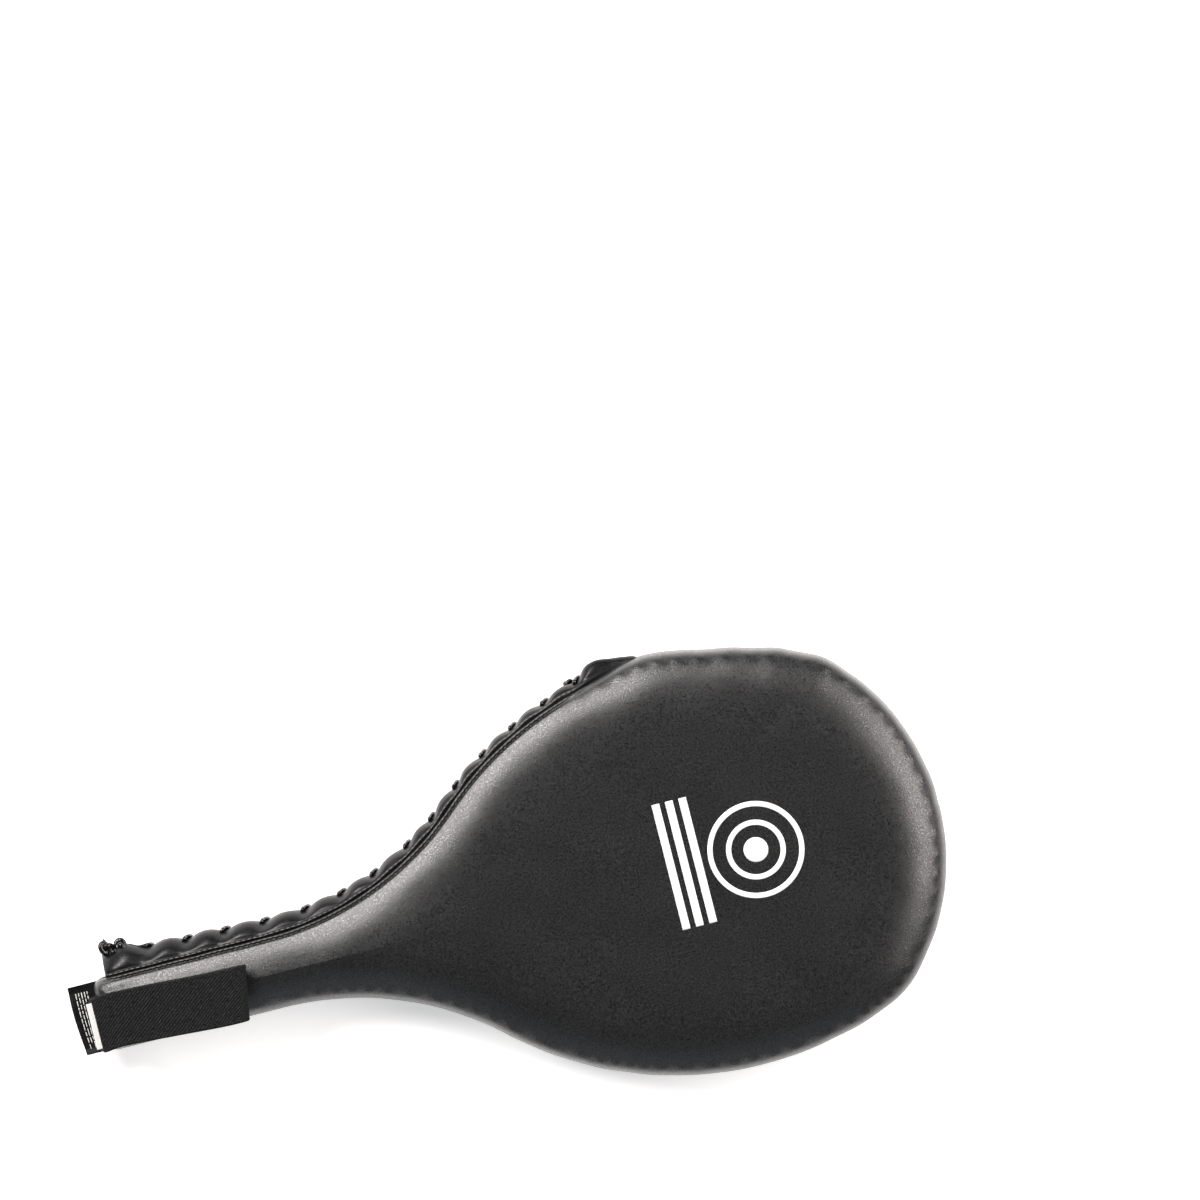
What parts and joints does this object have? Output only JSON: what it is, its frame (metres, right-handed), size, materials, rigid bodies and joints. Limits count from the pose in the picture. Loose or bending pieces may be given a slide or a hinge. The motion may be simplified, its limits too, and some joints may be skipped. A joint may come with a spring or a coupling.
{
  "type": "kick paddle",
  "caption": "Racket-shaped padded kick target with a laced leather cover, a foam core and an elastic wrist loop at the end of its handle.",
  "frame": {"origin": "on the flat back face of the pad, at the centre of the round blade", "axes": "+X along the paddle towards the blade's tip, +Y towards the laced edge, +Z out of the printed front face"},
  "size_m": [0.4054, 0.1942, 0.0459],
  "materials": {
    "cover_leather": "satin",
    "flap_leather": "satin",
    "core_plastic": "matte",
    "foam": "matte",
    "soft_foam": "matte",
    "thread": "satin",
    "lace": "satin",
    "elastic_webbing": "matte",
    "white_tape": "matte",
    "black_satin": "satin",
    "white_ink": "satin"
  },
  "bodies": {
    "paddle": {"front_cover": "cover_leather", "back_cover": "cover_leather", "front_lacing_flap": "flap_leather", "back_lacing_flap": "flap_leather", "core_board": "core_plastic", "front_foam": "foam", "back_foam": "foam", "front_soft_layer": "soft_foam", "back_soft_layer": "soft_foam", "front_seam_thread": "thread", "back_seam_thread": "thread", "side_seam_thread": "thread", "lacing_cord": "lace", "handle_end_knot": "lace", "far_end_knot": "lace", "strap_root": "elastic_webbing", "strap_bartack": "thread", "origin_label": "white_tape", "print_ring": "white_ink", "print_inner_ring": "white_ink", "print_dot": "white_ink", "print_bars": "white_ink"},
    "strap": {"wrist_strap": "elastic_webbing"},
    "label": {"care_label": "black_satin", "care_label_lines": "white_ink"}
  },
  "joints": [
    {"name": "strap_swing", "type": "hinge", "parent": "paddle", "child": "strap", "pos_m": [-0.2861, -0.003, 0.0382], "axis": [0, -1, 0], "range_deg": [0, 180]},
    {"name": "label_swing", "type": "hinge", "parent": "paddle", "child": "label", "pos_m": [-0.2878, 0.0005, 0.0168], "axis": [0, 1, 0], "range_deg": [-75, 25], "stiffness_Nm_per_rad": 0.0005}
  ]
}
